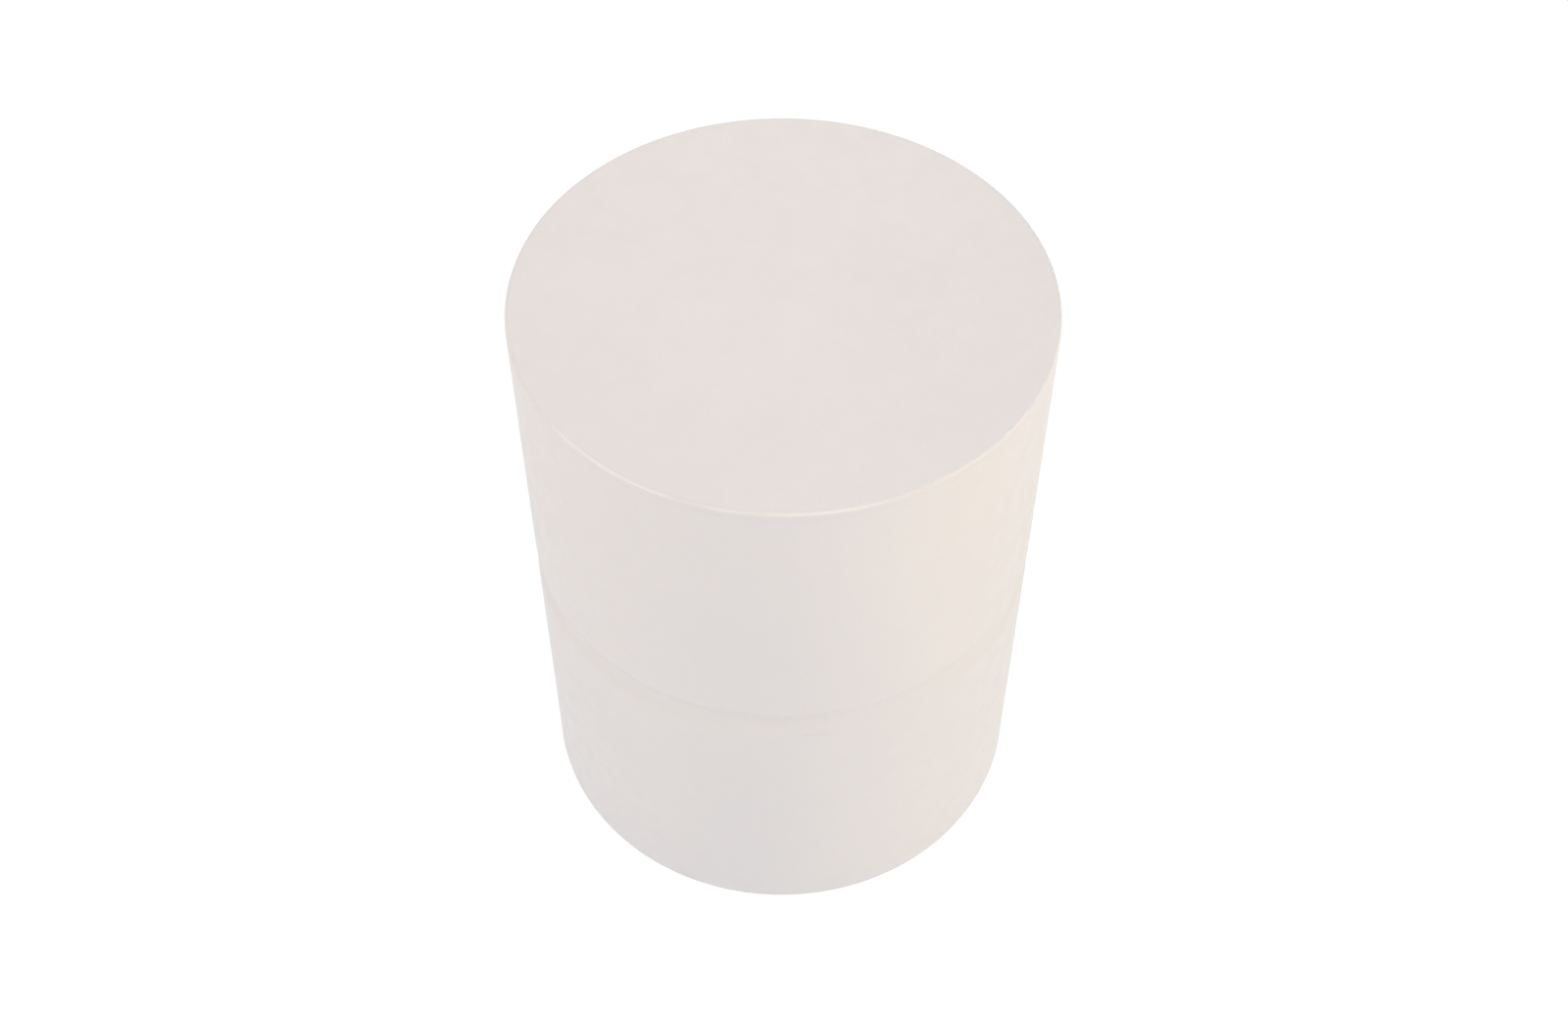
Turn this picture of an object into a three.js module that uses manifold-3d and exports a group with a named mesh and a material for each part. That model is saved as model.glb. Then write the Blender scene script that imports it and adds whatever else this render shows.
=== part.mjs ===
// Plastic chemical drum: a straight-sided polyethylene drum with one gripping groove round its
// middle, a recessed head with two threaded bungs, and a flush cover that lifts off the head.
// Millimetres, +Z up. The origin is the centre of the foot, on the floor, and -Y is the front.
import * as THREE from "three";
import { mergeVertices } from "three/addons/utils/BufferGeometryUtils.js";
import Module from "manifold-3d";

const wasm = await Module();
wasm.setup();

// The drum.
const DRUM_RADIUS = 300;
const DRUM_HEIGHT = 775;
const WALL = 5; // thickness of the blown shell
const GAP = 0.3; // left between pieces that touch

const FOOT_FLAT_INNER = 268; // radius where the foot ring's flat underside begins
const FOOT_EDGE = 8; // rounding of the foot's outer edge
const BASE_RAISE = 16; // how far the base panel stands off the floor
const FOOT_FLANK = 12; // how far the foot ring's inner flank leans, in radius
const FOOT_ROUNDING = 4; // of the foot ring's inner edge
const BLOWN_ROUNDING = 5; // of the shell's other corners
const EASED_EDGE = 0.8; // rounding of an edge that only has its sharpness taken off

const GROOVE_HEIGHT = 396; // middle of the gripping groove
const GROOVE_WIDTH = 44;
const GROOVE_FLOOR = 14;
const GROOVE_DEPTH = 5;
const GROOVE_SHOULDER = 42; // the large rounding where the groove runs into the wall
const GROOVE_BED = 38; // and where its flanks run into its floor

// The cover.
const COVER_EDGE = 10; // height of the cover's outer flange, whose side is flush with the wall
const COVER_ROUNDING = 4.5;
const COVER_FILLET = 2; // inside, between the panel and the skirt
const COVER_PANEL = 5;
const COVER_LIP = 2.7; // thickness of the lip outside the gasket channel
const SKIRT_DEPTH = 27; // how far the plug skirt reaches below the flange
const SKIRT_WALL = 3.5;
const SNAP_BEAD = 0.8;
const SNAP_BEAD_HEIGHT = 7; // middle of the bead, above the skirt's edge
const SNAP_BEAD_HALF = 3; // half of the bead's width
const RIB_COUNT = 12;
const RIB_DEPTH = 7;
const RIB_THICKNESS = 3;
const RING_RIB_STEP = 1; // how much shallower the ring ribs are than the spokes
const HUB_RADIUS = 60;
const RING_RIB_RADIUS = 165;
const COVER_GASKET_THICKNESS = 2.4;
const NOTCH_WIDTH = 90; // the notch in the rim, at the back, for lifting the cover
const NOTCH_DEPTH = 9;
const NOTCH_REACH = 10; // how far it cuts in from the wall's face

// The head, its necks and the bungs.
const COLLAR_WALL = 4.5;
const DECK_THICKNESS = 5;
const DECK_PANEL_RADIUS = 130; // raised middle of the deck
const DECK_PANEL_RAISE = 4;
const DECK_PANEL_LEAN = 6; // how far the step round the raised middle leans, in radius
const DECK_ROUNDING = 5;
const DECK_CORNER = 9; // rounding under the deck, where it turns up into the collar
const NECK_OFFSET = 205; // from the drum's axis to each neck's axis
const NECK_HEIGHT = 25; // above the deck
const NECK_RADIUS = 39;
const NECK_FLANGE_RADIUS = 54; // welded down on the deck
const NECK_FLANGE_THICKNESS = 4;
const NECK_SPIGOT = 2; // how far the neck reaches out below the deck
const NECK_FILLET = 6; // between the flange and the neck
const NECK_EDGE = 1.5;
const BORE_RADIUS = 30;
const BUNG_FLANGE_RADIUS = 37.5;
const BUNG_FLANGE_THICKNESS = 6.5;
const BUNG_EDGE = 1.5;
const BUNG_GASKET_THICKNESS = 2;
const GASKET_MARGIN = 0.5;
const BUNG_SKIRT = 22; // below the flange
const BUNG_FLOOR = 5; // thickness under a bung's recess
const BUNG_RECESS_LEAN = 0.5; // how far a recess narrows to its floor, in radius
const FILL_RECESS_RADIUS = 23.5;
const VENT_RECESS_RADIUS = 25;
const FILL_LUG_LENGTH = 7;
const LUG_WIDTH = 5;
const LUG_STEP = 1.5; // how far the lugs stay below the bung's top
const BUNG_RISE = 20; // four turns of the thread
const BUNG_THREAD = { pitch: 5, height: 1.7, root: 2.6, crest: 1.2, turns: 2, clearance: 0.5, lead: 3 };

const PLUG_BORE_RADIUS = 13.2; // the small centre hole in the vent bung
const PLUG_FLANGE_RADIUS = 17;
const PLUG_FLANGE_THICKNESS = 3.2;
const PLUG_GASKET_THICKNESS = 1.4;
const PLUG_SKIRT = 8;
const PLUG_RISE = 8; // four turns of the thread
const PLUG_THREAD = { pitch: 2, height: 0.8, root: 1.1, crest: 0.4, turns: 2, clearance: 0.35, lead: 1.4 };
const PLUG_SOCKET = 12.7; // square drive
const PLUG_SOCKET_DEPTH = 6;

// Heights that follow. The raised bungs stay clear of the closed cover's ribs.
const RIM = DRUM_HEIGHT - COVER_EDGE - GAP;
const COVER_UNDERSIDE = DRUM_HEIGHT - COVER_PANEL;
const RIB_BOTTOM = COVER_UNDERSIDE - RIB_DEPTH;
const HEADROOM = 1.5;
const PLUG_STACK = PLUG_FLANGE_THICKNESS + PLUG_GASKET_THICKNESS + 2 * GAP;
const BUNG_TOP = RIB_BOTTOM - HEADROOM - BUNG_RISE - PLUG_RISE - PLUG_STACK;
const BUNG_FLANGE_BOTTOM = BUNG_TOP - BUNG_FLANGE_THICKNESS;
const NECK_TOP = BUNG_FLANGE_BOTTOM - BUNG_GASKET_THICKNESS - 2 * GAP;
const DECK_TOP = NECK_TOP - NECK_HEIGHT;
const DECK_BOTTOM = DECK_TOP - DECK_THICKNESS;
const COLLAR_OUTER = DRUM_RADIUS - WALL - GAP;
const COLLAR_INNER = COLLAR_OUTER - COLLAR_WALL;
const SKIRT_OUTER = COLLAR_INNER - GAP - SNAP_BEAD;
const CHANNEL_TOP = RIM + COVER_GASKET_THICKNESS + 3 * GAP;

// Fineness of the faceted surfaces.
const DRUM_SEGMENTS = 48;
const BUNG_SEGMENTS = 24;
const FILLET_FACET = 4.5; // a rounded corner has one facet for each such length of its radius
const FACET_TURN = Math.PI / 12; // but a wide shallow one has no more than one for each such turn
const FADE_START = 0.1; // share of a thread ridge's height at its very ends

// ---- shapes ----

// The points of a profile of straight runs with rounded corners. A corner is [r, z, rounding].
function roundedProfile(corners, closed = false) {
  const at = (i) => new THREE.Vector2(...corners.at(i % corners.length));
  const points = [];
  corners.forEach(([, , rounding = 0], i) => {
    const corner = at(i);
    if (!rounding) {
      points.push(corner);
      return;
    }
    const before = at(i - 1).sub(corner).normalize();
    const after = at(i + 1).sub(corner).normalize();
    const half = Math.acos(before.dot(after)) / 2;
    const middle = before.clone().add(after).normalize();
    const centre = corner.clone().addScaledVector(middle, rounding / Math.sin(half));
    const reach = rounding / Math.tan(half);
    const from = corner.clone().addScaledVector(before, reach).sub(centre).angle();
    const to = corner.clone().addScaledVector(after, reach).sub(centre).angle();
    const sweep = Math.atan2(Math.sin(to - from), Math.cos(to - from));
    const steps = Math.ceil(Math.min(rounding / FILLET_FACET, Math.abs(sweep) / FACET_TURN));
    for (let k = 0; k <= steps; k++) {
      const angle = from + (sweep * k) / steps;
      points.push(new THREE.Vector2(rounding, 0).rotateAround(new THREE.Vector2(), angle).add(centre));
    }
  });
  if (closed) points.push(points[0].clone());
  return points;
}

// A three.js geometry as a manifold-3d solid.
function solidOf(geometry) {
  const bare = new THREE.BufferGeometry().setIndex(geometry.index);
  bare.setAttribute("position", geometry.getAttribute("position"));
  const merged = mergeVertices(bare, 1e-4);
  const triVerts = [];
  for (let i = 0; i < merged.index.count; i += 3) {
    const [a, b, c] = merged.index.array.subarray(i, i + 3);
    if (a !== b && b !== c && c !== a) triVerts.push(a, b, c);
  }
  const vertProperties = merged.getAttribute("position").array;
  return new wasm.Manifold(
    new wasm.Mesh({ numProp: 3, vertProperties, triVerts: new Uint32Array(triVerts) }),
  );
}

// A manifold-3d solid as a three.js geometry.
function geometryOf(solid) {
  const mesh = solid.getMesh();
  const geometry = new THREE.BufferGeometry();
  geometry.setAttribute("position", new THREE.BufferAttribute(mesh.vertProperties, 3));
  geometry.setIndex(new THREE.BufferAttribute(mesh.triVerts, 1));
  geometry.computeVertexNormals();
  return geometry;
}

// A solid turned about the Z axis from a profile of [r, z] corners, anticlockwise with r to the right.
function turned(corners, { closed = false, segments = DRUM_SEGMENTS } = {}) {
  const geometry = new THREE.LatheGeometry(roundedProfile(corners, closed), segments);
  return solidOf(geometry.rotateX(Math.PI / 2));
}

// A box by its middle and size.
function block(middle, size, turn = 0) {
  const geometry = new THREE.BoxGeometry(...size).translate(...middle);
  return solidOf(geometry.rotateZ(turn));
}

const EMBED = 0.4; // how far a ridge, lug or rib sinks into the wall that carries it
const OVERCUT = 1; // how far a cut starts before and ends past the wall it goes through

// One helical thread ridge about the Z axis. It stands from its root radius to its crest radius,
// inwards or outwards, and fades out over its first and last eighth of a turn.
function threadRidge({ pitch, root, crest, turns }, rootRadius, crestRadius, start) {
  const steps = turns * BUNG_SEGMENTS;
  const fadeSteps = BUNG_SEGMENTS / 8;
  const section = [[0, -root / 2], [1, -crest / 2], [1, crest / 2], [0, root / 2]];
  if (crestRadius < rootRadius) section.reverse();
  const positions = [];
  const index = [];
  for (let step = 0; step <= steps; step++) {
    const angle = (step / BUNG_SEGMENTS) * 2 * Math.PI;
    const fade = Math.min(1, FADE_START + ((1 - FADE_START) * Math.min(step, steps - step)) / fadeSteps);
    for (const [share, offset] of section) {
      const radius = rootRadius + (crestRadius - rootRadius) * share * fade;
      const height = start + (pitch * step) / BUNG_SEGMENTS + offset;
      positions.push(radius * Math.cos(angle), radius * Math.sin(angle), height);
    }
    if (step === steps) break;
    const first = step * 4;
    for (let side = 0; side < 4; side++) {
      const [a, b] = [first + side, first + ((side + 1) % 4)];
      index.push(a, a + 4, b, b, a + 4, b + 4);
    }
  }
  const last = steps * 4;
  index.push(0, 1, 2, 0, 2, 3, last, last + 2, last + 1, last, last + 3, last + 2);
  const geometry = new THREE.BufferGeometry().setIndex(index);
  geometry.setAttribute("position", new THREE.Float32BufferAttribute(positions, 3));
  return solidOf(geometry);
}

// The ridge inside a bore, and the matching ridge on a plug, half a pitch lower.
const boreRidge = (thread, bore, start) =>
  threadRidge(thread, bore + EMBED, bore - thread.height, start);
const plugRidge = (thread, bore, start) =>
  threadRidge(thread, coreRadius(thread, bore) - EMBED, bore - thread.clearance, start - thread.pitch / 2);
const coreRadius = (thread, bore) => bore - thread.height - thread.clearance;

// ---- the drum ----

function drumBody() {
  const inner = DRUM_RADIUS - WALL;
  const grooveLow = GROOVE_HEIGHT - GROOVE_WIDTH / 2;
  const grooveHigh = GROOVE_HEIGHT + GROOVE_WIDTH / 2;
  const floorLow = GROOVE_HEIGHT - GROOVE_FLOOR / 2;
  const floorHigh = GROOVE_HEIGHT + GROOVE_FLOOR / 2;
  const flankTop = FOOT_FLAT_INNER - FOOT_FLANK;
  const flankShift = WALL / 2; // keeps the leaning flank as thick as the wall
  const shell = turned([
    [0, BASE_RAISE],
    [flankTop, BASE_RAISE, BLOWN_ROUNDING],
    [FOOT_FLAT_INNER, 0, FOOT_ROUNDING],
    [DRUM_RADIUS, 0, FOOT_EDGE],
    [DRUM_RADIUS, grooveLow, GROOVE_SHOULDER],
    [DRUM_RADIUS - GROOVE_DEPTH, floorLow, GROOVE_BED],
    [DRUM_RADIUS - GROOVE_DEPTH, floorHigh, GROOVE_BED],
    [DRUM_RADIUS, grooveHigh, GROOVE_SHOULDER],
    [DRUM_RADIUS, RIM, EASED_EDGE],
    [inner, RIM, EASED_EDGE],
    [inner, grooveHigh, GROOVE_SHOULDER],
    [inner - GROOVE_DEPTH, floorHigh, GROOVE_BED],
    [inner - GROOVE_DEPTH, floorLow, GROOVE_BED],
    [inner, grooveLow, GROOVE_SHOULDER],
    [inner, WALL, BLOWN_ROUNDING],
    [FOOT_FLAT_INNER + flankShift, WALL, BLOWN_ROUNDING],
    [flankTop + flankShift, BASE_RAISE + WALL, BLOWN_ROUNDING],
    [0, BASE_RAISE + WALL],
  ]);
  return shell.subtract(liftNotch());
}

// A notch through the wall's top edge at the back, under the cover's flange.
function liftNotch() {
  const half = NOTCH_WIDTH / 2;
  const outline = new THREE.Shape()
    .moveTo(-half, OVERCUT)
    .absarc(-half + NOTCH_DEPTH, 0, NOTCH_DEPTH, Math.PI, 1.5 * Math.PI, false)
    .absarc(half - NOTCH_DEPTH, 0, NOTCH_DEPTH, 1.5 * Math.PI, 2 * Math.PI, false)
    .lineTo(half, OVERCUT);
  const depth = 2 * NOTCH_REACH;
  const geometry = new THREE.ExtrudeGeometry(outline, { depth, bevelEnabled: false, curveSegments: 6 });
  geometry.rotateX(Math.PI / 2).translate(0, DRUM_RADIUS + depth / 2, RIM);
  return solidOf(geometry);
}

function drumHead() {
  const panelEdge = DECK_PANEL_RADIUS + DECK_PANEL_LEAN;
  const panelBottom = DECK_BOTTOM + DECK_PANEL_RAISE;
  const head = turned([
    [0, panelBottom],
    [DECK_PANEL_RADIUS, panelBottom, DECK_ROUNDING],
    [panelEdge, DECK_BOTTOM, DECK_ROUNDING],
    [COLLAR_OUTER, DECK_BOTTOM, DECK_CORNER],
    [COLLAR_OUTER, RIM, EASED_EDGE],
    [COLLAR_INNER, RIM, EASED_EDGE],
    [COLLAR_INNER, DECK_TOP, DECK_ROUNDING],
    [panelEdge, DECK_TOP, DECK_ROUNDING],
    [DECK_PANEL_RADIUS, DECK_TOP + DECK_PANEL_RAISE, DECK_ROUNDING],
    [0, DECK_TOP + DECK_PANEL_RAISE],
  ]);
  const hole = roundCut(NECK_RADIUS + GAP, DECK_BOTTOM - OVERCUT, DECK_TOP + OVERCUT);
  return [-1, 1].reduce((left, side) => left.subtract(hole.translate([side * NECK_OFFSET, 0, 0])), head);
}

// A cylinder to cut a round hole about the Z axis.
function roundCut(radius, bottom, top) {
  return turned([[0, bottom], [radius, bottom], [radius, top], [0, top]], { segments: BUNG_SEGMENTS });
}

// A threaded neck. Its flange lies on the deck and its spigot reaches through the deck's hole.
function neck() {
  const bottom = DECK_BOTTOM - NECK_SPIGOT;
  const flangeBottom = DECK_TOP + GAP;
  const flangeTop = flangeBottom + NECK_FLANGE_THICKNESS;
  const corners = [
    [BORE_RADIUS, bottom, EASED_EDGE],
    [NECK_RADIUS, bottom, EASED_EDGE],
    [NECK_RADIUS, flangeBottom],
    [NECK_FLANGE_RADIUS, flangeBottom],
    [NECK_FLANGE_RADIUS, flangeTop, NECK_EDGE],
    [NECK_RADIUS, flangeTop, NECK_FILLET],
    [NECK_RADIUS, NECK_TOP, NECK_EDGE],
    [BORE_RADIUS, NECK_TOP, EASED_EDGE],
  ];
  const wall = turned(corners, { closed: true, segments: BUNG_SEGMENTS });
  return wall.add(boreRidge(BUNG_THREAD, BORE_RADIUS, threadStart(BUNG_THREAD, NECK_TOP)));
}

// The height where a thread starts, so that it ends its lead below the hole's top.
const threadStart = ({ lead, turns, pitch }, top) => top - lead - turns * pitch;

// ---- the bungs ----

// The outside of a bung: a flange over a threaded core, about the Z axis.
function bungBlank(recess) {
  const core = coreRadius(BUNG_THREAD, BORE_RADIUS);
  const bottom = BUNG_FLANGE_BOTTOM - BUNG_SKIRT;
  const corners = [
    [0, bottom],
    [core, bottom, BUNG_EDGE],
    [core, BUNG_FLANGE_BOTTOM],
    [BUNG_FLANGE_RADIUS, BUNG_FLANGE_BOTTOM, EASED_EDGE],
    [BUNG_FLANGE_RADIUS, BUNG_TOP, BUNG_EDGE],
    ...recess,
  ];
  const blank = turned(corners, { segments: BUNG_SEGMENTS });
  return blank.add(plugRidge(BUNG_THREAD, BORE_RADIUS, threadStart(BUNG_THREAD, NECK_TOP)));
}

// Four lugs across a bung's recess, where the wrench takes hold.
function addLugs(bung, innerRadius, outerRadius, bottom) {
  const top = BUNG_TOP - LUG_STEP;
  const middle = [(innerRadius + outerRadius) / 2, 0, (bottom + top) / 2];
  const size = [outerRadius - innerRadius, LUG_WIDTH, top - bottom];
  const turns = [1, 3, 5, 7].map((eighth) => (eighth * Math.PI) / 4);
  return turns.reduce((left, turn) => left.add(block(middle, size, turn)), bung);
}

function fillBung() {
  const rim = FILL_RECESS_RADIUS;
  const floor = BUNG_FLANGE_BOTTOM - BUNG_SKIRT + BUNG_FLOOR;
  const blank = bungBlank([
    [rim, BUNG_TOP, EASED_EDGE],
    [rim - BUNG_RECESS_LEAN, floor, BUNG_EDGE],
    [0, floor],
  ]);
  return addLugs(blank, rim - FILL_LUG_LENGTH, rim + EMBED, floor - EMBED);
}

// The vent bung's recess runs round a hub that holds the small centre plug.
function ventBung() {
  const rim = VENT_RECESS_RADIUS;
  const hub = PLUG_FLANGE_RADIUS;
  const floor = BUNG_FLANGE_BOTTOM - BUNG_SKIRT + BUNG_FLOOR;
  const blank = bungBlank([
    [rim, BUNG_TOP, EASED_EDGE],
    [rim - BUNG_RECESS_LEAN, floor, EASED_EDGE],
    [hub + BUNG_RECESS_LEAN, floor, EASED_EDGE],
    [hub, BUNG_TOP, EASED_EDGE],
    [0, BUNG_TOP],
  ]);
  const hole = roundCut(PLUG_BORE_RADIUS, BUNG_FLANGE_BOTTOM - BUNG_SKIRT - OVERCUT, BUNG_TOP + OVERCUT);
  const lugs = addLugs(blank, hub - EMBED, rim + EMBED, floor - EMBED);
  const thread = boreRidge(PLUG_THREAD, PLUG_BORE_RADIUS, threadStart(PLUG_THREAD, BUNG_TOP));
  return lugs.subtract(hole).add(thread);
}

function ventPlug() {
  const core = coreRadius(PLUG_THREAD, PLUG_BORE_RADIUS);
  const seat = BUNG_TOP + PLUG_GASKET_THICKNESS + 2 * GAP;
  const top = seat + PLUG_FLANGE_THICKNESS;
  const corners = [
    [0, BUNG_TOP - PLUG_SKIRT],
    [core, BUNG_TOP - PLUG_SKIRT, EASED_EDGE],
    [core, seat],
    [PLUG_FLANGE_RADIUS, seat, EASED_EDGE],
    [PLUG_FLANGE_RADIUS, top, EASED_EDGE],
    [0, top],
  ];
  const socket = block([0, 0, top], [PLUG_SOCKET, PLUG_SOCKET, 2 * PLUG_SOCKET_DEPTH]);
  const blank = turned(corners, { segments: BUNG_SEGMENTS });
  const thread = plugRidge(PLUG_THREAD, PLUG_BORE_RADIUS, threadStart(PLUG_THREAD, BUNG_TOP));
  return blank.add(thread).subtract(socket);
}

// The corners of a ring of rectangular section.
const ringCorners = (inner, outer, bottom, top, rounding = 0) => [
  [inner, bottom, rounding],
  [outer, bottom, rounding],
  [outer, top, rounding],
  [inner, top, rounding],
];

// A flat sealing ring with softened edges.
function flatRing(inner, outer, bottom, thickness, segments) {
  const corners = ringCorners(inner, outer, bottom, bottom + thickness, thickness / 5);
  return turned(corners, { closed: true, segments });
}

// The gasket under a flange is a little smaller than the flange and a little larger than the hole.
const flangeGasket = (hole, flange, seat, thickness) =>
  flatRing(hole + GASKET_MARGIN, flange - GASKET_MARGIN, seat + GAP, thickness, BUNG_SEGMENTS);
const bungGasket = () =>
  flangeGasket(BORE_RADIUS, BUNG_FLANGE_RADIUS, NECK_TOP, BUNG_GASKET_THICKNESS);
const plugGasket = () =>
  flangeGasket(PLUG_BORE_RADIUS, PLUG_FLANGE_RADIUS, BUNG_TOP, PLUG_GASKET_THICKNESS);

// ---- the cover ----

function topCover() {
  const skirtInner = SKIRT_OUTER - SKIRT_WALL;
  const flangeBottom = RIM + GAP;
  const skirtBottom = flangeBottom - SKIRT_DEPTH;
  const beadHeight = skirtBottom + SNAP_BEAD_HEIGHT;
  const lipInner = DRUM_RADIUS - COVER_LIP;
  const shell = turned([
    [0, COVER_UNDERSIDE],
    [skirtInner, COVER_UNDERSIDE, COVER_FILLET],
    [skirtInner, skirtBottom, EASED_EDGE],
    [SKIRT_OUTER, skirtBottom, EASED_EDGE],
    [SKIRT_OUTER, beadHeight - SNAP_BEAD_HALF],
    [SKIRT_OUTER + SNAP_BEAD, beadHeight, EASED_EDGE],
    [SKIRT_OUTER, beadHeight + SNAP_BEAD_HALF],
    [SKIRT_OUTER, CHANNEL_TOP],
    [lipInner, CHANNEL_TOP],
    [lipInner, flangeBottom],
    [DRUM_RADIUS, flangeBottom, EASED_EDGE],
    [DRUM_RADIUS, DRUM_HEIGHT, COVER_ROUNDING],
    [0, DRUM_HEIGHT],
  ]);
  return coverRibs(skirtInner + EMBED).reduce((cover, rib) => cover.add(rib), shell);
}

// Stiffening ribs under the panel: spokes from a hub ring to the skirt, and one ring between. The
// rings are a little shallower than the spokes.
function coverRibs(reach) {
  const top = COVER_UNDERSIDE + EMBED;
  const height = top - RIB_BOTTOM;
  const half = RIB_THICKNESS / 2;
  const middle = [(HUB_RADIUS + reach) / 2, 0, (top + RIB_BOTTOM) / 2];
  const spokes = Array.from({ length: RIB_COUNT }, (_, i) =>
    block(middle, [reach - HUB_RADIUS, RIB_THICKNESS, height], (2 * Math.PI * (i + 0.5)) / RIB_COUNT));
  const rings = [HUB_RADIUS, RING_RIB_RADIUS].map((radius) =>
    turned(ringCorners(radius - half, radius + half, RIB_BOTTOM + RING_RIB_STEP, top), { closed: true }));
  return [...spokes, ...rings];
}

function coverGasket() {
  const outer = DRUM_RADIUS - COVER_LIP - GAP;
  return flatRing(COLLAR_INNER, outer, RIM + GAP, COVER_GASKET_THICKNESS, DRUM_SEGMENTS);
}

// ---- materials and the assembly ----

const plastic = (color, roughness) => new THREE.MeshStandardMaterial({ color, roughness, metalness: 0 });
const NATURAL_PLASTIC = plastic(0xe6deda, 0.45);
const BUNG_PLASTIC = plastic(0xd8d8d4, 0.4);
const PLUG_PLASTIC = plastic(0x9a2c24, 0.4);
const SEAL_RUBBER = plastic(0x1c1c1d, 0.8);
const SEAL_FOAM = plastic(0xd9d6cf, 0.9);

// A named piece, placed along X from the drum's axis.
function piece(name, solid, material, x = 0) {
  const mesh = new THREE.Mesh(geometryOf(solid), material);
  mesh.name = name;
  mesh.position.x = x;
  return mesh;
}

const drum = new THREE.Group();
drum.add(
  piece("drum_body", drumBody(), NATURAL_PLASTIC),
  piece("drum_head", drumHead(), NATURAL_PLASTIC),
  piece("fill_neck", neck(), NATURAL_PLASTIC, -NECK_OFFSET),
  piece("vent_neck", neck(), NATURAL_PLASTIC, NECK_OFFSET),
  piece("top_cover", topCover(), NATURAL_PLASTIC),
  piece("cover_gasket", coverGasket(), SEAL_FOAM),
  piece("fill_bung", fillBung(), BUNG_PLASTIC, -NECK_OFFSET),
  piece("fill_bung_gasket", bungGasket(), SEAL_RUBBER, -NECK_OFFSET),
  piece("vent_bung", ventBung(), BUNG_PLASTIC, NECK_OFFSET),
  piece("vent_bung_gasket", bungGasket(), SEAL_RUBBER, NECK_OFFSET),
  piece("vent_plug", ventPlug(), PLUG_PLASTIC, NECK_OFFSET),
  piece("vent_plug_gasket", plugGasket(), SEAL_RUBBER, NECK_OFFSET),
);

export default drum;
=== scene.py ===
import math

import bpy
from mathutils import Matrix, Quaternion, Vector


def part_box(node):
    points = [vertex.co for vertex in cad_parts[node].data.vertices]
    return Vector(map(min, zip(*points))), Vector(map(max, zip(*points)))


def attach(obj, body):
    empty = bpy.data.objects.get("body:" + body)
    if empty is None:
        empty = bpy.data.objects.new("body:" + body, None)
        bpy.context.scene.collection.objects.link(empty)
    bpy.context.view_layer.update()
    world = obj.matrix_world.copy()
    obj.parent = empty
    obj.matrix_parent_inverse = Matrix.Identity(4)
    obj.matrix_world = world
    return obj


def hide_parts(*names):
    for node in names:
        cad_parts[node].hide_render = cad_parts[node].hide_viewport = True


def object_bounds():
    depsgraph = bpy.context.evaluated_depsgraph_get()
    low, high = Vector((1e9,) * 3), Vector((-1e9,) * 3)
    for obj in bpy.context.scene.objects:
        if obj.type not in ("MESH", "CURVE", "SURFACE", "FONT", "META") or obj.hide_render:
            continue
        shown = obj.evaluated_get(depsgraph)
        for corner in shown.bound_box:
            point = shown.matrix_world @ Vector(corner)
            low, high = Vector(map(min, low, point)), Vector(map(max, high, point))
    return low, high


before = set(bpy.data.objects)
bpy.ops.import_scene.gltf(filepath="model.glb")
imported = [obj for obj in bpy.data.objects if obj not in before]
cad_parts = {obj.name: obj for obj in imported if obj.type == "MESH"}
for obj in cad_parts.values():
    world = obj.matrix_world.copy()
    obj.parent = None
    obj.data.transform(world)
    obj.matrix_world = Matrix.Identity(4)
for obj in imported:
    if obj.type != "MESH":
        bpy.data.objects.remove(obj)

cad_low, cad_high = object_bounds()

MM = 0.001
TURN = 2 * math.pi

# ---- sizes, in millimetres, from the frame's boxes and the drum's own drawing ----

TRIM = 0.01  # keeps rounding errors inside the frame's box
HEIGHT = cad_high.z / MM - TRIM
RADIUS = cad_high.x / MM - TRIM


def levels(node):
    """A node's lowest and highest level, in millimetres."""
    low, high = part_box(node)
    return round(low.z / MM, 3), round(high.z / MM, 3)


RIM = levels("drum_body")[1]
DECK_BOTTOM = levels("drum_head")[0]
NECK_BOTTOM, NECK_TOP = levels("fill_neck")
COVER_BOTTOM = levels("top_cover")[0]
COVER_GASKET = levels("cover_gasket")
BUNG_BOTTOM, BUNG_TOP = levels("fill_bung")
BUNG_GASKET = levels("fill_bung_gasket")
PLUG_BOTTOM, PLUG_TOP = levels("vent_plug")
PLUG_GASKET = levels("vent_plug_gasket")
NECK_OFFSET = (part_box("vent_neck")[0].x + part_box("vent_neck")[1].x) / 2 / MM

GAP = 0.3
WALL = 5.0
INNER = RADIUS - WALL
GROOVE_HEIGHT = 396.0
GROOVE_WIDTH = 44.0
GROOVE_FLOOR = 14.0
GROOVE_DEPTH = 5.0
GROOVE_SHOULDER = 42.0
GROOVE_ROUND = 38.0
BLOWN_ROUNDING = 5.0
EASED_EDGE = 0.8
SEAM_EDGE = 0.15
BASE_RAISE = 16.0
FOOT_INNER = 268.0
FOOT_FLANK = 12.0
FOOT_EDGE = 8.0
NOTCH_HALF = 45.0
NOTCH_DEPTH = 9.0
NOTCH_REACH = 9.0
DECK_TOP = DECK_BOTTOM + 5.0
DECK_PANEL = 130.0
DECK_PANEL_EDGE = DECK_PANEL + 6.0
DECK_PANEL_RAISE = 4.0
COLLAR_OUTER = INNER - GAP
COLLAR_INNER = COLLAR_OUTER - 4.5
BORE = 30.0
NECK_OUTER = 39.0
NECK_FLANGE = 54.0
NECK_FLANGE_TALL = 4.0
BUNG_CORE = 27.8
BUNG_FLANGE = 37.5
BUNG_FLOOR = BUNG_BOTTOM + 5.0
FILL_RECESS = 23.5
VENT_RECESS = 25.0
LUG_LENGTH = 7.0
LUG_WIDTH = 5.0
LUG_STEP = 1.5
PLUG_BORE = 13.2
PLUG_CORE = 12.05
PLUG_FLANGE = 17.0
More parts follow.
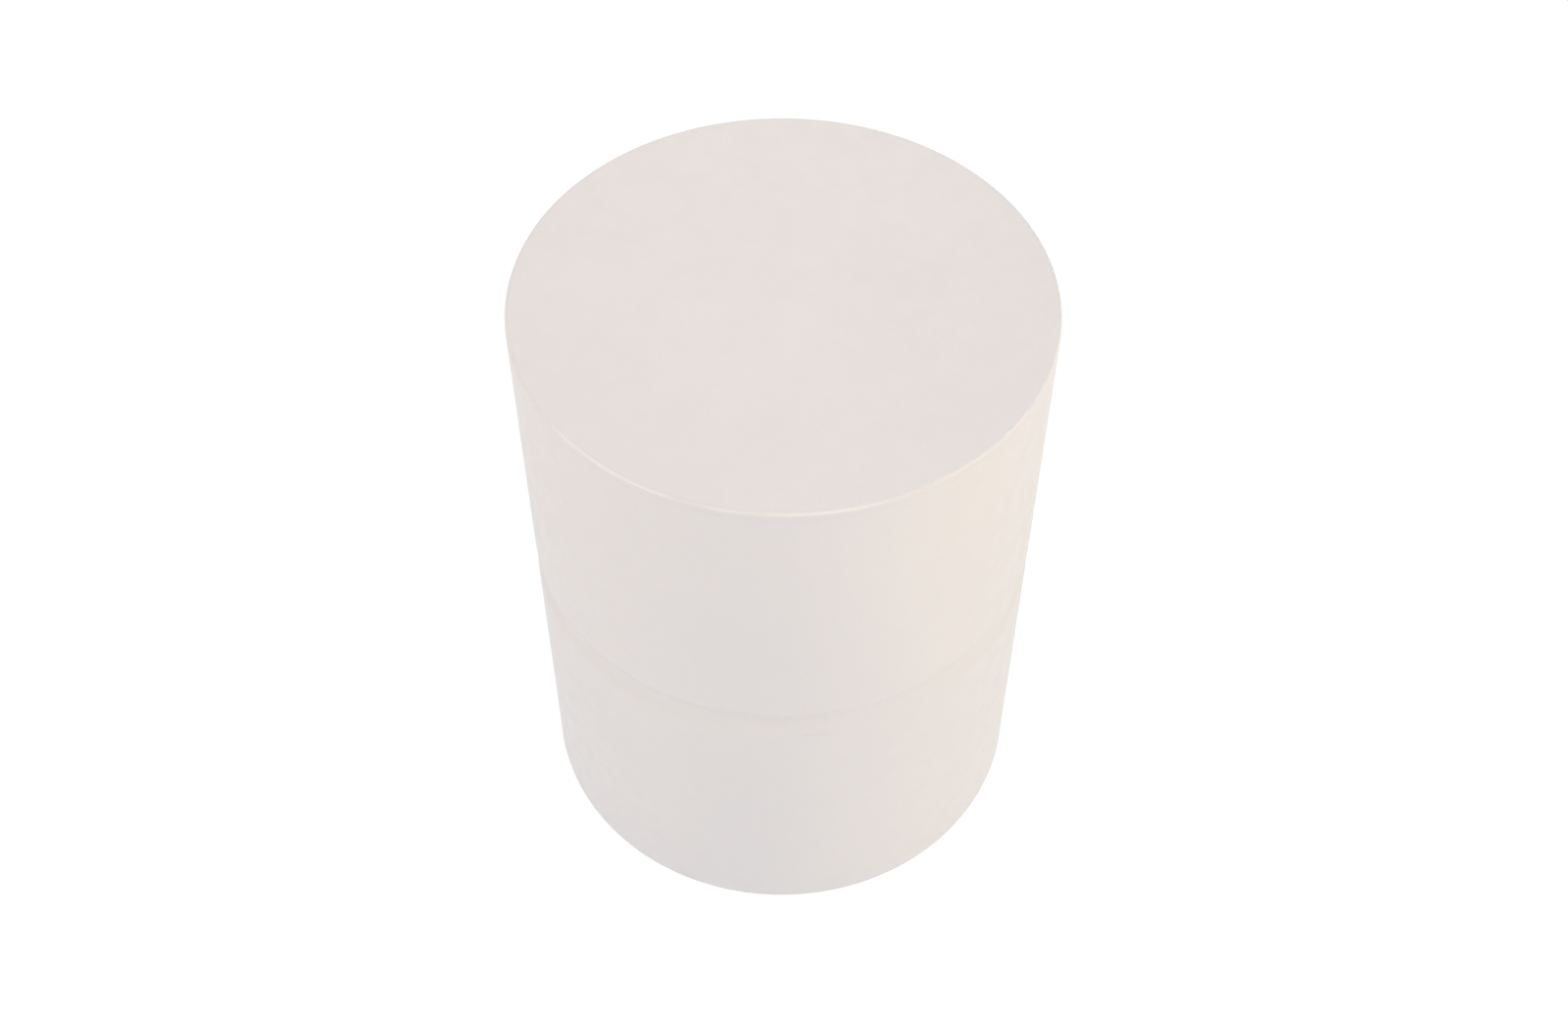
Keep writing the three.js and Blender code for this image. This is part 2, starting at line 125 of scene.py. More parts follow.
PLUG_SOCKET_HALF = 6.35
PLUG_SOCKET_DEPTH = 6.0
PLUG_SOCKET_CORNER = 1.2
RING_MARGIN = 0.5
COVER_PANEL = 5.0
COVER_ROUNDING = 4.5
UNDERSIDE = HEIGHT - COVER_PANEL
FLANGE_BOTTOM = RIM + 0.06
SKIRT_OUTER = COLLAR_INNER - GAP - 0.8
SKIRT_INNER = SKIRT_OUTER - 3.5
SNAP_BEAD_HEIGHT = 7.0
SNAP_BEAD_HALF = 3.0
RIB_RINGS = (60.0, 165.0)
RIB_HALF = 1.5
RIB_BOTTOM = UNDERSIDE - 7.0
WAVER_DEPTH = 0.6

# A thread's pitch, and its ridge's height and its widths at the root and the crest.
BUNG_PITCH, BUNG_RIDGE, BUNG_ROOT, BUNG_CREST = 5.0, 1.7, 2.6, 1.2
PLUG_PITCH, PLUG_RIDGE, PLUG_ROOT, PLUG_CREST = 2.0, 0.8, 1.1, 0.4
THREAD_TURNS = 2.0
NECK_THREAD_START = NECK_TOP - 3.0 - THREAD_TURNS * BUNG_PITCH
PLUG_BORE_THREAD_START = BUNG_TOP - 1.4 - THREAD_TURNS * PLUG_PITCH
SHARP_ANGLE = math.radians(34)

# ---- profiles ----


def arc_points(corner, before, after, rounding):
    """The points of a rounded corner between two neighbours."""
    to_before = (before - corner).normalized()
    to_after = (after - corner).normalized()
    half = to_before.angle(to_after) / 2
    centre = corner + (to_before + to_after).normalized() * (rounding / math.sin(half))
    reach = rounding / math.tan(half)
    start = corner + to_before * reach - centre
    sweep = math.pi - 2 * half
    side = 1 if to_before.x * to_after.y - to_before.y * to_after.x < 0 else -1
    steps = max(2, round(math.degrees(sweep) / 9), round(sweep * rounding / 3))
    points = []
    for k in range(steps + 1):
        angle = side * sweep * k / steps
        cosine, sine = math.cos(angle), math.sin(angle)
        points.append(centre + Vector((start.x * cosine - start.y * sine, start.x * sine + start.y * cosine)))
    return points


def outline(corners, closed=False):
    """A profile's points from corners (r, z, rounding, spacing), in millimetres, anticlockwise.

    The spacing is the longest step on the straight run that leaves the corner. Each run is held
    by a point near both its ends, so that its shading stays flat."""
    places = [Vector(corner[:2]) for corner in corners]
    count = len(corners)
    points, spacings = [], []
    for i, corner in enumerate(corners):
        rounding = corner[2] if len(corner) > 2 else 0
        spacing = corner[3] if len(corner) > 3 else 28.0
        if rounding:
            made = arc_points(places[i], places[i - 1], places[(i + 1) % count], rounding)
        else:
            made = [places[i]]
        points += made
        spacings += [None] * (len(made) - 1) + [spacing]
    if closed:
        points.append(points[0].copy())
    full = []
    for i, point in enumerate(points[:-1]):
        full.append(point)
        if spacings[i] is None:
            continue
        run = points[i + 1] - point
        hold = min(0.8, run.length / 4)
        inner = run.length - 2 * hold
        steps = max(1, math.ceil(inner / spacings[i]))
        full += [point + run.normalized() * (hold + inner * k / steps) for k in range(steps + 1)]
    full.append(points[-1])
    return full


# ---- geometry node trees ----


class Tree:
    """A geometry node tree with named inputs, ending in Realize Instances and Set Material."""

    def __init__(self, name, sizes=()):
        self.group = bpy.data.node_groups.new(name, "GeometryNodeTree")
        face = self.group.interface
        face.new_socket("Geometry", in_out="OUTPUT", socket_type="NodeSocketGeometry")
        face.new_socket("Geometry", in_out="INPUT", socket_type="NodeSocketGeometry")
        for label, kind in (*sizes, ("Material", "Material")):
            face.new_socket(label, in_out="INPUT", socket_type="NodeSocket" + kind)
        self.inputs = self.add("NodeGroupInput").outputs

    def add(self, kind, settings=None, inputs=None):
        node = self.group.nodes.new(kind)
        for name, value in (settings or {}).items():
            setattr(node, name, value)
        for key, value in (inputs or {}).items():
            if isinstance(value, bpy.types.NodeSocket):
                self.group.links.new(value, node.inputs[key])
            else:
                node.inputs[key].default_value = value
        return node

    def math(self, operation, a, b=None, c=None, clamp=False):
        values = {i: v for i, v in enumerate((a, b, c)) if v is not None}
        return self.add("ShaderNodeMath", {"operation": operation, "use_clamp": clamp}, values).outputs[0]

    def vector(self, x, y, z):
        return self.add("ShaderNodeCombineXYZ", None, {0: x, 1: y, 2: z}).outputs[0]

    def cylindrical(self):
        """Radius, turn about Z (0 to 1) and height of the point, and the position's X and Y."""
        place = self.add("GeometryNodeInputPosition").outputs[0]
        x, y, z = self.add("ShaderNodeSeparateXYZ", None, {0: place}).outputs
        radius = self.math("SQRT", self.math("ADD", self.math("MULTIPLY", x, x), self.math("MULTIPLY", y, y)))
        turned = self.math("DIVIDE", self.math("ARCTAN2", y, x), TURN)
        turn = self.math("FRACT", self.math("ADD", turned, 1.0))
        return radius, turn, z, x, y

    def within(self, value, middle, reach):
        """1 where the value is within reach of the middle."""
        settings = {"data_type": "FLOAT", "operation": "LESS_THAN"}
        distance = self.math("ABSOLUTE", self.math("SUBTRACT", value, middle))
        return self.add("FunctionNodeCompare", settings, {0: distance, 1: reach}).outputs[0]

    def push(self, geometry, selection, x, y, radius, distance):
        """Moves the selected points away from the Z axis by the distance."""
        share = self.math("DIVIDE", distance, radius)
        offset = self.vector(self.math("MULTIPLY", x, share), self.math("MULTIPLY", y, share), 0.0)
        inputs = {"Geometry": geometry, "Selection": selection, "Offset": offset}
        return self.add("GeometryNodeSetPosition", None, inputs).outputs[0]

    def end(self, geometry):
        """Sharpens the edges that turn by more than SHARP_ANGLE and closes the tree."""
        angle = self.add("GeometryNodeInputMeshEdgeAngle").outputs[0]
        settings = {"data_type": "FLOAT", "operation": "LESS_THAN"}
        soft = self.add("FunctionNodeCompare", settings, {0: angle, 1: SHARP_ANGLE}).outputs[0]
        inputs = {"Geometry": geometry, "Shade Smooth": True}
        faces = self.add("GeometryNodeSetShadeSmooth", {"domain": "FACE"}, inputs)
        inputs = {"Geometry": faces.outputs[0], "Shade Smooth": soft}
        edges = self.add("GeometryNodeSetShadeSmooth", {"domain": "EDGE"}, inputs)
        real = self.add("GeometryNodeRealizeInstances", None, {0: edges.outputs[0]})
        inputs = {"Geometry": real.outputs[0], "Material": self.inputs["Material"]}
        done = self.add("GeometryNodeSetMaterial", None, inputs)
        self.add("NodeGroupOutput", None, {0: done.outputs[0]})
        return self.group


def turning_tree():
    """Turns a profile, a chain of points in the XZ plane, about the Z axis."""
    tree = Tree("Turning", [("Segments", "Int")])
    profile = tree.inputs["Geometry"]
    segments = tree.inputs["Segments"]
    counts = tree.add("GeometryNodeAttributeDomainSize", {"component": "MESH"}, {0: profile})
    rows = counts.outputs["Point Count"]
    columns = tree.math("ADD", segments, 1)
    grid = tree.add("GeometryNodeMeshGrid", None, {"Vertices X": rows, "Vertices Y": columns}).outputs["Mesh"]
    index = tree.add("GeometryNodeInputIndex").outputs[0]
    row = tree.math("FLOOR", tree.math("DIVIDE", tree.math("ADD", index, 0.5), columns))
    column = tree.math("SUBTRACT", index, tree.math("MULTIPLY", row, columns))
    place = tree.add("GeometryNodeInputPosition").outputs[0]
    settings = {"data_type": "FLOAT_VECTOR", "domain": "POINT"}
    inputs = {"Geometry": profile, "Value": place, "Index": row}
    corner = tree.add("GeometryNodeSampleIndex", settings, inputs)
    angle = tree.math("MULTIPLY", tree.math("DIVIDE", column, segments), TURN)
    inputs = {"Vector": corner.outputs[0], "Angle": angle}
    turned = tree.add("ShaderNodeVectorRotate", {"rotation_type": "Z_AXIS"}, inputs).outputs[0]
    placed = tree.add("GeometryNodeSetPosition", None, {"Geometry": grid, "Position": turned}).outputs[0]
    welded = tree.add("GeometryNodeMergeByDistance", None, {"Geometry": placed, "Distance": 2e-6}).outputs[0]
    return tree.end(tree.add("GeometryNodeFlipFaces", None, {0: welded}).outputs[0])


def thread_tree():
    """Raises a helical ridge on the wall of a given radius. A negative height raises it inwards."""
    names = ("Wall Radius", "Ridge Height", "Pitch", "Turns", "Start", "Root Width", "Crest Width")
    tree = Tree("Thread", [(name, "Float") for name in names])
    wall, ridge, pitch, turns, start, root, crest = (tree.inputs[name] for name in names)
    radius, turn, height, x, y = tree.cylindrical()
    raised = tree.math("SUBTRACT", tree.math("DIVIDE", tree.math("SUBTRACT", height, start), pitch), turn)
    whole = tree.math("ROUND", raised)
    along = tree.math("ADD", whole, turn)
    beside = tree.math("MULTIPLY", tree.math("ABSOLUTE", tree.math("SUBTRACT", raised, whole)), pitch)
    slope = tree.math("DIVIDE", tree.math("SUBTRACT", root, crest), 2.0)
    inside_root = tree.math("SUBTRACT", tree.math("DIVIDE", root, 2.0), beside)
    flank = tree.math("DIVIDE", inside_root, slope, clamp=True)
    left = tree.math("MINIMUM", along, tree.math("SUBTRACT", turns, along))
    fade = tree.math("MULTIPLY", left, 8.0, clamp=True)
    distance = tree.math("MULTIPLY", tree.math("MULTIPLY", flank, fade), ridge)
    on_wall = tree.within(radius, wall, 2e-5)
    return tree.end(tree.push(tree.inputs["Geometry"], on_wall, x, y, radius, distance))


def flute_tree():
    """Presses shallow upright flutes into a rim of a given radius."""
    tree = Tree("Flutes", [("Rim Radius", "Float"), ("Flutes", "Int"), ("Depth", "Float")])
    radius, turn, _, x, y = tree.cylindrical()
    flutes_turned = tree.math("MULTIPLY", turn, tree.inputs["Flutes"])
    wave = tree.math("COSINE", tree.math("MULTIPLY", flutes_turned, TURN))
    hollow = tree.math("POWER", tree.math("MAXIMUM", wave, 0.0), 0.7)
    distance = tree.math("MULTIPLY", tree.math("MULTIPLY", hollow, tree.inputs["Depth"]), -1.0)
    on_rim = tree.within(radius, tree.inputs["Rim Radius"], 2e-5)
    return tree.end(tree.push(tree.inputs["Geometry"], on_rim, x, y, radius, distance))


def waver_tree():
    """Lets a blown wall waver inwards a little, as it does when it cools."""
    names = ("Wall Radius", "Depth", "Lowest", "Highest")
    tree = Tree("Waver", [(name, "Float") for name in names])
    radius, _, height, x, y = tree.cylindrical()
    place = tree.add("GeometryNodeInputPosition").outputs[0]
    noise = tree.add("ShaderNodeTexNoise", None, {"Vector": place, "Scale": 7.0, "Detail": 1.0}).outputs[0]
    above = tree.math("DIVIDE", tree.math("SUBTRACT", height, tree.inputs["Lowest"]), 0.04, clamp=True)
    below = tree.math("DIVIDE", tree.math("SUBTRACT", tree.inputs["Highest"], height), 0.04, clamp=True)
    held = tree.math("MULTIPLY", above, below)
    amount = tree.math("MULTIPLY", tree.math("MULTIPLY", noise, tree.inputs["Depth"]), held)
    outside = tree.within(radius, tree.inputs["Wall Radius"], 2e-3)
    distance = tree.math("MULTIPLY", amount, -1.0)
    return tree.end(tree.push(tree.inputs["Geometry"], outside, x, y, radius, distance))


def bars_tree():
    """Joins equal bars to a piece, spread round the Z axis like spokes.

    A bar runs from an inner to an outer radius, and the four corners of its section are rounded."""
    names = ("From Radius", "To Radius", "Width", "Bottom", "Top", "Rounding", "First Turn")
    tree = Tree("Bars", [("Count", "Int"), *((name, "Float") for name in names)])
    inner, outer, width, bottom, top, rounding, first = (tree.inputs[name] for name in names)
    tall = tree.math("SUBTRACT", top, bottom)
    inputs = {"Width": width, "Height": tall}
    section = tree.add("GeometryNodeCurvePrimitiveQuadrilateral", {"mode": "RECTANGLE"}, inputs)
    settings = {"mode": "POLY"}
    inputs = {"Curve": section.outputs[0], "Radius": rounding, "Count": 4}
    rounded_section = tree.add("GeometryNodeFilletCurve", settings, inputs).outputs[0]
    middle = tree.math("MULTIPLY", tree.math("ADD", bottom, top), 0.5)
    start = tree.vector(inner, 0.0, middle)
    finish = tree.vector(outer, 0.0, middle)
    line = tree.add("GeometryNodeCurvePrimitiveLine", None, {"Start": start, "End": finish}).outputs[0]
    level = tree.add("GeometryNodeSetCurveNormal", {"mode": "Z_UP"}, {0: line}).outputs[0]
    inputs = {"Curve": level, "Profile Curve": rounded_section, "Fill Caps": True}
    bar = tree.add("GeometryNodeCurveToMesh", None, inputs).outputs[0]
    inputs = {"Count": tree.inputs["Count"], "Offset": (0.0, 0.0, 0.0)}
    spots = tree.add("GeometryNodeMeshLine", None, inputs).outputs[0]
    index = tree.add("GeometryNodeInputIndex").outputs[0]
    share = tree.math("ADD", tree.math("DIVIDE", index, tree.inputs["Count"]), first)
    turning = tree.vector(0.0, 0.0, tree.math("MULTIPLY", share, TURN))
    inputs = {"Points": spots, "Instance": bar, "Rotation": turning}
    bars = tree.add("GeometryNodeInstanceOnPoints", None, inputs).outputs[0]
    real = tree.add("GeometryNodeRealizeInstances", None, {0: bars}).outputs[0]
    joined = tree.add("GeometryNodeMeshBoolean", {"operation": "UNION", "solver": "MANIFOLD"})
    tree.group.links.new(tree.inputs["Geometry"], joined.inputs["Mesh 2"])
    tree.group.links.new(real, joined.inputs["Mesh 2"])
    return tree.end(joined.outputs[0])


def cut_tree():
    """Cuts another piece's shape out of this one."""
    tree = Tree("Cut", [("Cutter", "Object")])
    cutter = tree.add("GeometryNodeObjectInfo", None, {"Object": tree.inputs["Cutter"]}).outputs["Geometry"]
    settings = {"operation": "DIFFERENCE", "solver": "MANIFOLD"}
    cut = tree.add("GeometryNodeMeshBoolean", settings, {"Mesh 1": tree.inputs["Geometry"], "Mesh 2": cutter})
    return tree.end(cut.outputs[0])


def join_tree():
    """Joins another piece's shape to this one."""
    tree = Tree("Join", [("Other", "Object")])
    other = tree.add("GeometryNodeObjectInfo", None, {"Object": tree.inputs["Other"]}).outputs["Geometry"]
    joined = tree.add("GeometryNodeMeshBoolean", {"operation": "UNION", "solver": "MANIFOLD"})
    tree.group.links.new(tree.inputs["Geometry"], joined.inputs["Mesh 2"])
    tree.group.links.new(other, joined.inputs["Mesh 2"])
    return tree.end(joined.outputs[0])


def shift_tree():
    """Moves a piece's shape to its place."""
    tree = Tree("Shift", [("Place", "Vector")])
    inputs = {"Geometry": tree.inputs["Geometry"], "Translation": tree.inputs["Place"]}
    return tree.end(tree.add("GeometryNodeTransform", None, inputs).outputs[0])


TURNING = turning_tree()
THREAD = thread_tree()
FLUTES = flute_tree()
WAVER = waver_tree()
BARS = bars_tree()
CUT = cut_tree()
JOIN = join_tree()
SHIFT = shift_tree()


def work(piece, tree, material, **sizes):
    """Adds a tree to a piece, with its inputs set by their sockets' identifiers."""
    modifier = piece.modifiers.new(tree.name, "NODES")
    modifier.node_group = tree
    wanted = {name.replace("_", " ").title(): value for name, value in sizes.items()}
    wanted["Material"] = material
    for socket in tree.interface.items_tree:
        if socket.in_out == "INPUT" and socket.name in wanted:
            modifier[socket.identifier] = wanted.pop(socket.name)
    if wanted:
        raise ValueError(f"{tree.name} has no input named {sorted(wanted)}")
    return piece


def chain(name, points):
    """A new object holding a profile as a chain of points in the XZ plane."""
    mesh = bpy.data.meshes.new(name)
    places = [(point.x * MM, 0.0, point.y * MM) for point in points]
    mesh.from_pydata(places, [(i, i + 1) for i in range(len(places) - 1)], [])
    piece = bpy.data.objects.new(name, mesh)
    bpy.context.scene.collection.objects.link(piece)
    return piece


def turned(name, corners, material, segments=128, closed=False):
    """A piece turned about the Z axis."""
    return work(chain(name, outline(corners, closed)), TURNING, material, segments=segments)


def bung_thread(piece, material, wall, ridge, start):
    """A large thread. A negative ridge stands inwards from its wall."""
    return work(piece, THREAD, material, wall_radius=wall * MM, ridge_height=ridge * MM,
                pitch=BUNG_PITCH * MM, turns=THREAD_TURNS, start=start * MM,
                root_width=BUNG_ROOT * MM, crest_width=BUNG_CREST * MM)


def plug_thread(piece, material, wall, ridge, start):
    """A small thread. A negative ridge stands inwards from its wall."""
    return work(piece, THREAD, material, wall_radius=wall * MM, ridge_height=ridge * MM,
                pitch=PLUG_PITCH * MM, turns=THREAD_TURNS, start=start * MM,
                root_width=PLUG_ROOT * MM, crest_width=PLUG_CREST * MM)


def quarter(start, steps=8):
    """The angles of a quarter turn, in equal steps."""
    return [start + math.pi / 2 * k / steps for k in range(steps + 1)]


def prism(name, places, count):
    """A closed prism as a new object. Its first count places are one end, the rest the other."""
    sides = [(i, (i + 1) % count, count + (i + 1) % count, count + i) for i in range(count)]
    faces = [tuple(reversed(range(count))), tuple(range(count, 2 * count)), *sides]
    mesh = bpy.data.meshes.new(name)
    mesh.from_pydata(places, [], faces)
    cutter = bpy.data.objects.new(name, mesh)
    bpy.context.scene.collection.objects.link(cutter)
    return cutter


def made(piece):
    """The piece's shape as a plain mesh, with its trees removed."""
    bpy.context.view_layer.update()
    graph = bpy.context.evaluated_depsgraph_get()
    mesh = bpy.data.meshes.new_from_object(piece.evaluated_get(graph))
    name = piece.name
    bpy.data.objects.remove(piece)
    plain = bpy.data.objects.new(name, mesh)
    bpy.context.scene.collection.objects.link(plain)
    return plain


def fitted(piece, body, node=None):
    """Finishes a piece and hands it to the frame: its body and the node it stands for."""
    plain = made(piece)
    if node:
        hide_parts(node)
    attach(plain, body)
    return plain


# ---- finishes ----


class Finish:
    """A material put together from shader nodes."""

    def __init__(self, name, **values):
        self.material = bpy.data.materials.new(name)
        self.material.use_nodes = True
        self.nodes = self.material.node_tree.nodes
        self.links = self.material.node_tree.links
        self.shader = self.nodes["Principled BSDF"]
        for label, value in values.items():
            self.shader.inputs[label.replace("_", " ")].default_value = value
        self.place = self.add("ShaderNodeTexCoord").outputs["Object"]

    def add(self, kind, settings=None, inputs=None):
        node = self.nodes.new(kind)
        for name, value in (settings or {}).items():
            setattr(node, name, value)
        for key, value in (inputs or {}).items():
            if isinstance(value, bpy.types.NodeSocket):
                self.links.new(value, node.inputs[key])
            else:
                node.inputs[key].default_value = value
        return node

    def math(self, operation, a, b=None, clamp=False):
        values = {i: v for i, v in enumerate((a, b)) if v is not None}
        return self.add("ShaderNodeMath", {"operation": operation, "use_clamp": clamp}, values).outputs[0]

    def stretched(self, x, y, z):
        """Object coordinates scaled along each axis, and so a pattern squeezed along it."""
        return self.add("ShaderNodeMapping", None, {"Vector": self.place, "Scale": (x, y, z)}).outputs[0]

    def noise(self, scale, detail=2.0, roughness=0.5, at=None):
        inputs = {"Vector": at or self.place, "Scale": scale, "Detail": detail, "Roughness": roughness}
        return self.add("ShaderNodeTexNoise", None, inputs).outputs["Fac"]

    def cells(self, scale, at=None):
        inputs = {"Vector": at or self.place, "Scale": scale}
        return self.add("ShaderNodeTexVoronoi", None, inputs).outputs["Distance"]

    def ramp(self, value, low, high, to_low=0.0, to_high=1.0):
        inputs = {"Value": value, "From Min": low, "From Max": high, "To Min": to_low, "To Max": to_high}
        return self.add("ShaderNodeMapRange", {"interpolation_type": "SMOOTHSTEP"}, inputs).outputs[0]

    def blend(self, share, a, b):
        """Colour a where the share is 0, colour b where it is 1."""
        node = self.add("ShaderNodeMix", {"data_type": "RGBA"}, {0: share})
        for slot, colour in ((6, a), (7, b)):
            if isinstance(colour, bpy.types.NodeSocket):
                self.links.new(colour, node.inputs[slot])
            else:
                node.inputs[slot].default_value = (*colour, 1.0)
        return node.outputs[2]

    def height(self):
        return self.add("ShaderNodeSeparateXYZ", None, {0: self.place}).outputs[2]

    def near(self, value, middle, reach):
        """1 at the middle, fading to 0 at reach from it."""
        distance = self.math("ABSOLUTE", self.math("SUBTRACT", value, middle))
        return self.ramp(distance, reach, 0.0)

    def bump(self, height, distance, normal=None):
        inputs = {"Height": height, "Distance": distance, "Strength": 1.0}
        if normal:
            inputs["Normal"] = normal
        return self.add("ShaderNodeBump", None, inputs).outputs[0]

    def done(self, colour, roughness, normal):
        self.links.new(colour, self.shader.inputs["Base Color"])
        self.links.new(roughness, self.shader.inputs["Roughness"])
        self.links.new(normal, self.shader.inputs["Normal"])
        return self.material


NATURAL_COOL = (0.695, 0.647, 0.626)
NATURAL_WARM = (0.704, 0.653, 0.626)


def blown_plastic():
    """Natural blow-moulded polyethylene: waxy, with faint upright flow and scuffs where it rubs."""
    f = Finish("natural_blown_plastic", Subsurface_Weight=0.08, Subsurface_Scale=0.01, IOR=1.51)
    height = f.height()
    clouds = f.noise(5.0, 2.0)
    flow = f.noise(1.0, 4.0, 0.6, f.stretched(70.0, 70.0, 3.0))
    colour = f.blend(f.ramp(clouds, 0.35, 0.65), NATURAL_COOL, NATURAL_WARM)
    colour = f.blend(f.ramp(flow, 0.45, 0.75, 0.0, 0.18), colour, (0.722, 0.670, 0.640))
    rings = f.noise(1.0, 3.0, 0.65, f.stretched(5.0, 5.0, 700.0))
    patchy = f.ramp(f.noise(16.0, 3.0), 0.45, 0.65)
    rubbed = f.near(height, (GROOVE_HEIGHT - GROOVE_WIDTH / 2) * MM, 0.007)
    rubbed = f.math("MAXIMUM", rubbed, f.near(height, (GROOVE_HEIGHT + GROOVE_WIDTH / 2) * MM, 0.007))
    rubbed = f.math("MAXIMUM", rubbed, f.near(height, 0.004, 0.016))
    rubbed = f.math("MAXIMUM", rubbed, f.near(height, RIM * MM, 0.006))
    scuffs = f.math("MULTIPLY", f.math("MULTIPLY", rubbed, patchy), f.ramp(rings, 0.48, 0.62))
    colour = f.blend(f.math("MULTIPLY", scuffs, 0.3), colour, (0.74, 0.70, 0.67))
    soil = f.math("MULTIPLY", f.ramp(height, 0.05, 0.0), f.ramp(f.noise(28.0, 4.0), 0.42, 0.7))
    colour = f.blend(f.math("MULTIPLY", soil, 0.2), colour, (0.56, 0.52, 0.49))
    roughness = f.ramp(f.noise(40.0, 3.0), 0.3, 0.7, 0.36, 0.48)
    roughness = f.math("ADD", roughness, f.math("MULTIPLY", scuffs, 0.22))
    peel = f.bump(f.noise(420.0, 2.0), 0.00006)
    dents = f.bump(f.noise(30.0, 2.0), 0.0002, peel)
    marks = f.bump(f.math("MULTIPLY", scuffs, rings), 0.0002, dents)
    return f.done(colour, roughness, marks)


def pressed_plastic(name, light, dark, polish_and_highlight_height=None):
    """Injection-moulded polyethylene: smoother, with a cloudy tone, fine speckle and fine handling marks, and
    where a height is given a polished band with a painted highlight.
    """
    f = Finish(name, Subsurface_Weight=0.06, Subsurface_Scale=0.008, IOR=1.51)
    colour = f.blend(f.ramp(f.noise(6.0, 2.0), 0.35, 0.65), dark, light)
    speckle = f.ramp(f.noise(260.0, 3.0), 0.62, 0.78, 0.0, 0.35)
    colour = f.blend(speckle, colour, tuple(0.93 * channel for channel in dark))
    lines = f.noise(1.0, 3.0, 0.6, f.stretched(9.0, 420.0, 60.0))
    crossed = f.noise(1.0, 3.0, 0.6, f.stretched(380.0, 11.0, 60.0))
    scratches = f.math("MAXIMUM", f.ramp(lines, 0.68, 0.74), f.ramp(crossed, 0.69, 0.75))
    scratches = f.math("MULTIPLY", scratches, f.ramp(f.noise(12.0, 2.0), 0.45, 0.7))
    colour = f.blend(f.math("MULTIPLY", scratches, 0.25), colour, tuple(1.08 * channel for channel in light))
    roughness = f.ramp(f.noise(55.0, 3.0), 0.3, 0.7, 0.34, 0.46)
    roughness = f.math("ADD", roughness, f.math("MULTIPLY", scratches, 0.2))
    # Along the rim's rounding the roughness drops a little for polish, and the colour is lightened there as a
    # painted highlight.
    if polish_and_highlight_height:
        polish_and_highlight_band = f.near(f.height(), polish_and_highlight_height * MM, COVER_ROUNDING / 2 * MM)
        roughness = f.math("SUBTRACT", roughness, f.math("MULTIPLY", polish_and_highlight_band, 0.12))
        painted_rim_highlight = f.math("MULTIPLY", polish_and_highlight_band, f.ramp(f.noise(9.0, 3.0), 0.38, 0.62, 0.0, 0.75))
        colour = f.blend(painted_rim_highlight, colour, (0.80, 0.76, 0.72))
    grain = f.bump(f.noise(900.0, 2.0), 0.00004)
    sink = f.bump(f.noise(18.0, 1.0), 0.0002, grain)
    marks = f.bump(scratches, -0.00005, sink)
    return f.done(colour, roughness, marks)


def soft_rubber(name, light, dark, cell, depth, rough):
    """A sealing ring's rubber or foam, with its cells or bloom."""
    f = Finish(name, IOR=1.45)
    cells = f.cells(cell)
    bloom = f.ramp(f.noise(35.0, 4.0), 0.4, 0.7)
    colour = f.blend(f.math("MULTIPLY", bloom, 0.6), dark, light)
    # The cells' pits are darkened in colour as painted shade; the bump below sinks the same pits.
    colour = f.blend(f.ramp(cells, 0.0, 0.35, 0.4, 0.0), colour, tuple(0.6 * channel for channel in dark))
    roughness = f.ramp(f.noise(90.0, 3.0), 0.3, 0.7, rough - 0.08, rough + 0.08)
    skin = f.bump(cells, depth)
    return f.done(colour, roughness, f.bump(f.noise(1400.0, 2.0), depth / 3, skin))


SHELL = blown_plastic()
# The last argument is the height of the rim's rounding, which gets polish and a painted highlight.
COVER = pressed_plastic("natural_pressed_plastic", NATURAL_WARM, NATURAL_COOL, HEIGHT - COVER_ROUNDING / 2)
NECK = pressed_plastic("neck_plastic", (0.72, 0.70, 0.67), (0.69, 0.675, 0.65))
BUNG = pressed_plastic("bung_plastic", (0.66, 0.66, 0.63), (0.61, 0.61, 0.585))
PLUG = pressed_plastic("red_plug_plastic", (0.36, 0.030, 0.020), (0.29, 0.020, 0.015))
FOAM = soft_rubber("foam_ring", (0.70, 0.68, 0.64), (0.62, 0.60, 0.56), 900.0, 0.00025, 0.85)
RUBBER = soft_rubber("seal_rubber", (0.030, 0.030, 0.031), (0.012, 0.012, 0.012), 1500.0, 0.00005, 0.6)

# ---- the shell ----


def shell_corners():
    low, high = GROOVE_HEIGHT - GROOVE_WIDTH / 2, GROOVE_HEIGHT + GROOVE_WIDTH / 2
    floor_low, floor_high = GROOVE_HEIGHT - GROOVE_FLOOR / 2, GROOVE_HEIGHT + GROOVE_FLOOR / 2
    flank = FOOT_INNER - FOOT_FLANK
    return [
        (0, BASE_RAISE),
        (flank, BASE_RAISE, BLOWN_ROUNDING),
        (FOOT_INNER, 0, 4),
        (RADIUS, 0, FOOT_EDGE),
        (RADIUS, low, GROOVE_SHOULDER),
        (RADIUS - GROOVE_DEPTH, floor_low, GROOVE_ROUND),
        (RADIUS - GROOVE_DEPTH, floor_high, GROOVE_ROUND),
        (RADIUS, high, GROOVE_SHOULDER),
        (RADIUS, RIM, SEAM_EDGE),
        (INNER, RIM, EASED_EDGE),
        (INNER, high, GROOVE_SHOULDER),
        (INNER - GROOVE_DEPTH, floor_high, GROOVE_ROUND),
        (INNER - GROOVE_DEPTH, floor_low, GROOVE_ROUND),
        (INNER, low, GROOVE_SHOULDER),
        (INNER, WALL, BLOWN_ROUNDING),
        (FOOT_INNER + WALL / 2, WALL, BLOWN_ROUNDING),
        (flank + WALL / 2, BASE_RAISE + WALL, BLOWN_ROUNDING),
        (0, BASE_RAISE + WALL),
    ]


